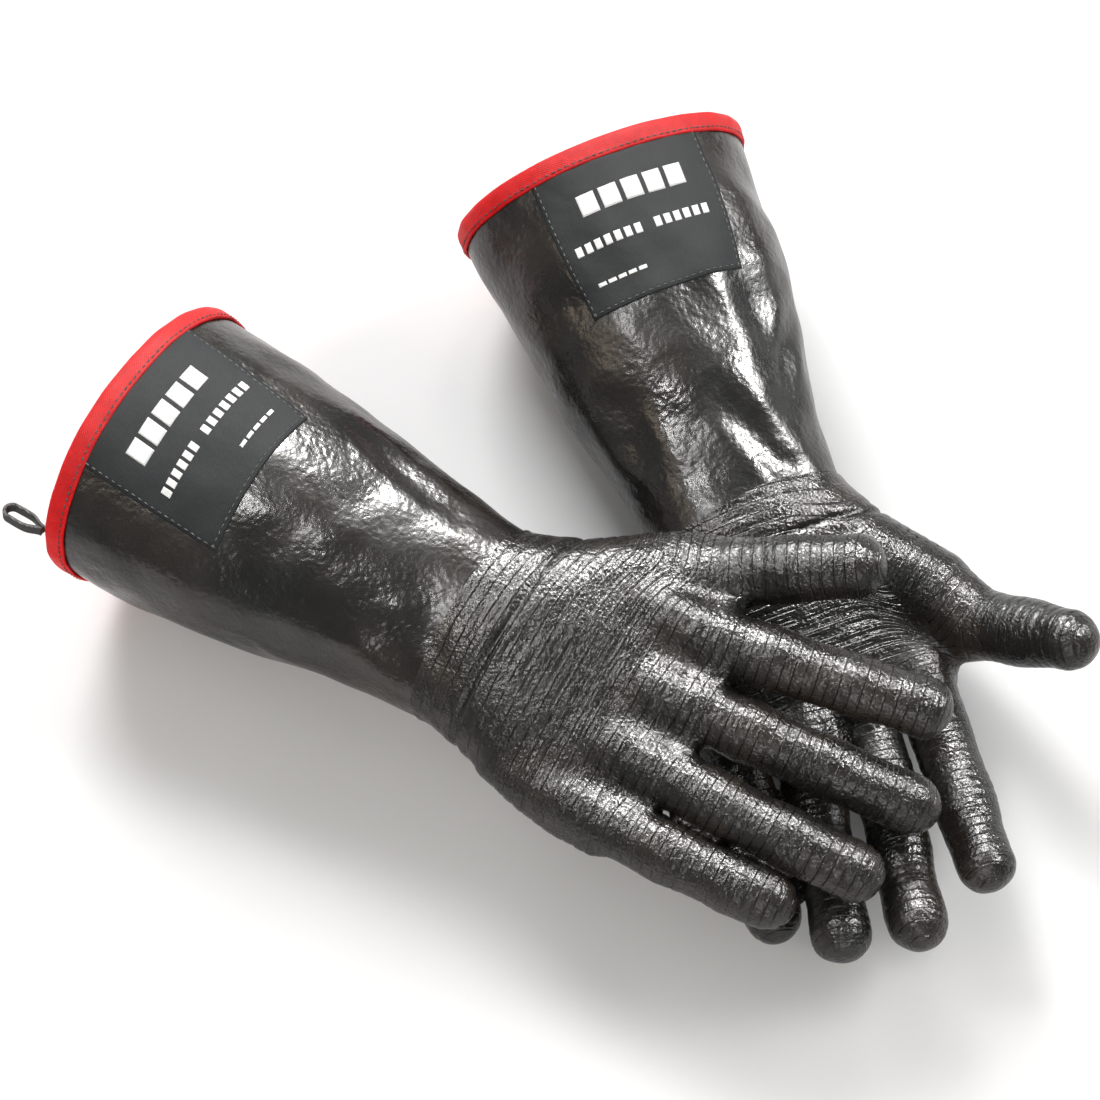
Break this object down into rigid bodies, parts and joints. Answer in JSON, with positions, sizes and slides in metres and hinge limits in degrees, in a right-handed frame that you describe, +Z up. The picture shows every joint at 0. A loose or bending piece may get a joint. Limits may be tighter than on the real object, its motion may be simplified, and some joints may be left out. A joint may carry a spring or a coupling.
{
  "type": "electrical insulating gloves",
  "caption": "Pair of long black rubber-coated gauntlet gloves with a knitted liner, bound cuffs and hanging loops, lying one on the other.",
  "frame": {"origin": "on the surface that the pair lies on, below the middle of the pair", "axes": "+X to the side that the upper glove's fingers point to, +Y towards the lower glove's cuff, +Z up"},
  "size_m": [0.4217, 0.3482, 0.1035],
  "materials": {
    "sleeve_rubber": "glossy, finely pebbled",
    "hand_rubber": "semi-gloss crinkle with cross creases",
    "knit_liner": "soft knit",
    "red_binding": "woven tape",
    "thread": "twisted thread",
    "label_cloth": "satin woven cloth",
    "label_ink": "matt print",
    "loop_webbing": "woven webbing"
  },
  "bodies": {
    "left_glove": {"left_gauntlet": "sleeve_rubber", "left_hand_shell": "hand_rubber", "left_sleeve_liner": "knit_liner", "left_hand_liner": "knit_liner", "left_cuff_binding": "red_binding", "left_binding_stitching": "thread", "left_label_patch": "label_cloth", "left_label_print": "label_ink", "left_loop_tab": "loop_webbing"},
    "left_index": {"left_index_stall": "hand_rubber", "left_index_liner": "knit_liner"},
    "left_middle": {"left_middle_stall": "hand_rubber", "left_middle_liner": "knit_liner"},
    "left_ring": {"left_ring_stall": "hand_rubber", "left_ring_liner": "knit_liner"},
    "left_little": {"left_little_stall": "hand_rubber", "left_little_liner": "knit_liner"},
    "left_thumb": {"left_thumb_stall": "hand_rubber", "left_thumb_liner": "knit_liner"},
    "left_loop": {"left_hanging_loop": "loop_webbing"},
    "right_glove": {"right_gauntlet": "sleeve_rubber", "right_hand_shell": "hand_rubber", "right_sleeve_liner": "knit_liner", "right_hand_liner": "knit_liner", "right_cuff_binding": "red_binding", "right_binding_stitching": "thread", "right_label_patch": "label_cloth", "right_label_print": "label_ink", "right_loop_tab": "loop_webbing"},
    "right_index": {"right_index_stall": "hand_rubber", "right_index_liner": "knit_liner"},
    "right_middle": {"right_middle_stall": "hand_rubber", "right_middle_liner": "knit_liner"},
    "right_ring": {"right_ring_stall": "hand_rubber", "right_ring_liner": "knit_liner"},
    "right_little": {"right_little_stall": "hand_rubber", "right_little_liner": "knit_liner"},
    "right_thumb": {"right_thumb_stall": "hand_rubber", "right_thumb_liner": "knit_liner"},
    "right_loop": {"right_hanging_loop": "loop_webbing"}
  },
  "joints": [
    {"name": "right_glove_lift", "type": "slide", "parent": "left_glove", "child": "right_glove", "axis": [0, 0, 1], "range_m": [0, 0.12]},
    {"name": "right_index_bend", "type": "hinge", "parent": "right_glove", "child": "right_index", "pos_m": [0.05953, -0.06027, 0.0743], "axis": [0.3468, 0.8998, 0.2646], "range_deg": [-45, 12], "stiffness_Nm_per_rad": 0.8},
    {"name": "right_middle_bend", "type": "hinge", "parent": "right_glove", "child": "right_middle", "pos_m": [0.0513, -0.08521, 0.06734], "axis": [0.4241, 0.8617, 0.2785], "range_deg": [-45, 4], "stiffness_Nm_per_rad": 0.8},
    {"name": "right_ring_bend", "type": "hinge", "parent": "right_glove", "child": "right_ring", "pos_m": [0.0381, -0.10687, 0.05965], "axis": [0.4981, 0.8171, 0.2902], "range_deg": [-45, 2], "stiffness_Nm_per_rad": 0.8},
    {"name": "right_little_bend", "type": "hinge", "parent": "right_glove", "child": "right_little", "pos_m": [0.01993, -0.12523, 0.05123], "axis": [0.4689, 0.8357, 0.2858], "range_deg": [-40, 6], "stiffness_Nm_per_rad": 0.8},
    {"name": "right_thumb_bend", "type": "hinge", "parent": "right_glove", "child": "right_thumb", "pos_m": [0.06704, -0.03278, 0.07101], "axis": [0.0175, 0.9816, 0.1904], "range_deg": [-20, 15], "stiffness_Nm_per_rad": 0.8},
    {"name": "right_loop_swing", "type": "hinge", "parent": "right_glove", "child": "right_loop", "pos_m": [-0.19351, -0.0126, 0.06401], "axis": [-0.0447, -0.2808, -0.9587], "range_deg": [-45, 45], "stiffness_Nm_per_rad": 0.02},
    {"name": "left_index_bend", "type": "hinge", "parent": "left_glove", "child": "left_index", "pos_m": [0.14411, -0.05406, 0.02207], "axis": [-0.9609, -0.2766, 0.0146], "range_deg": [-9, 25], "stiffness_Nm_per_rad": 0.8},
    {"name": "left_middle_bend", "type": "hinge", "parent": "left_glove", "child": "left_middle", "pos_m": [0.12176, -0.0695, 0.02124], "axis": [-0.9738, -0.2264, 0.0218], "range_deg": [-8, 5], "stiffness_Nm_per_rad": 0.8},
    {"name": "left_ring_bend", "type": "hinge", "parent": "left_glove", "child": "left_ring", "pos_m": [0.09719, -0.07943, 0.02124], "axis": [-0.9809, -0.1925, 0.0266], "range_deg": [-8, 2], "stiffness_Nm_per_rad": 0.8},
    {"name": "left_little_bend", "type": "hinge", "parent": "left_glove", "child": "left_little", "pos_m": [0.0704, -0.08385, 0.02207], "axis": [-0.9698, -0.2432, 0.0194], "range_deg": [-4, 6], "stiffness_Nm_per_rad": 0.8},
    {"name": "left_thumb_bend", "type": "hinge", "parent": "left_glove", "child": "left_thumb", "pos_m": [0.16461, -0.0374, 0.03326], "axis": [-0.4408, -0.8928, -0.0931], "range_deg": [-30, 15], "stiffness_Nm_per_rad": 0.8},
    {"name": "left_loop_swing", "type": "hinge", "parent": "left_glove", "child": "left_loop", "pos_m": [0.01676, 0.15501, 0.00477], "axis": [-0.9272, -0.3746, 0], "range_deg": [-60, 4], "stiffness_Nm_per_rad": 0.02}
  ]
}
